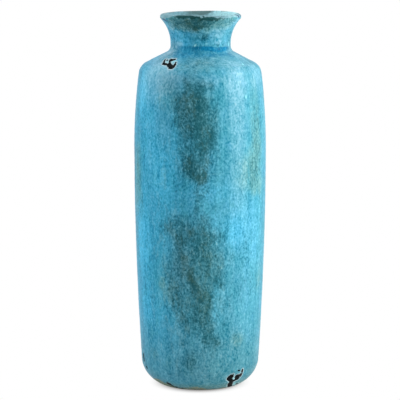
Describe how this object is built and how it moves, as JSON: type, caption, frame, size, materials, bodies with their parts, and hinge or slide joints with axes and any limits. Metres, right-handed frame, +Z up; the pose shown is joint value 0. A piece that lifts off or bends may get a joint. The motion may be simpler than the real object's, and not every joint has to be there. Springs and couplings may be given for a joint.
{
  "type": "stoneware vase",
  "caption": "Tall stoneware bottle vase with a round shoulder, short neck and flared lip, turquoise glaze over dark slip with small chips, and a bare foot ring that stands on a table.",
  "frame": {"origin": "centre of the foot ring, on the table", "axes": "+Z up along the axis of the vase, -Y to the front as pictured, +X to the viewer's right"},
  "size_m": [0.1689, 0.169, 0.48],
  "materials": {
    "clay": "bare fired stoneware, fine grained and matt",
    "joint_slip": "fired luting slip, matt",
    "dark_slip": "near-black slip, satin where a chip bares it",
    "turquoise_glaze": "satin gloss turquoise glaze, finely mottled, darker where it is thin or pooled",
    "liner_glaze": "satin pale green-blue liner glaze"
  },
  "bodies": {
    "root": {"base": "clay", "lower_wall": "clay", "upper_wall": "clay", "shoulder": "clay", "neck": "clay", "base_joint_slip": "joint_slip", "waist_joint_slip": "joint_slip", "shoulder_joint_slip": "joint_slip", "neck_joint_slip": "joint_slip", "dark_slip_coat": "dark_slip", "turquoise_glaze": "turquoise_glaze", "liner_glaze": "liner_glaze"}
  },
  "joints": []
}
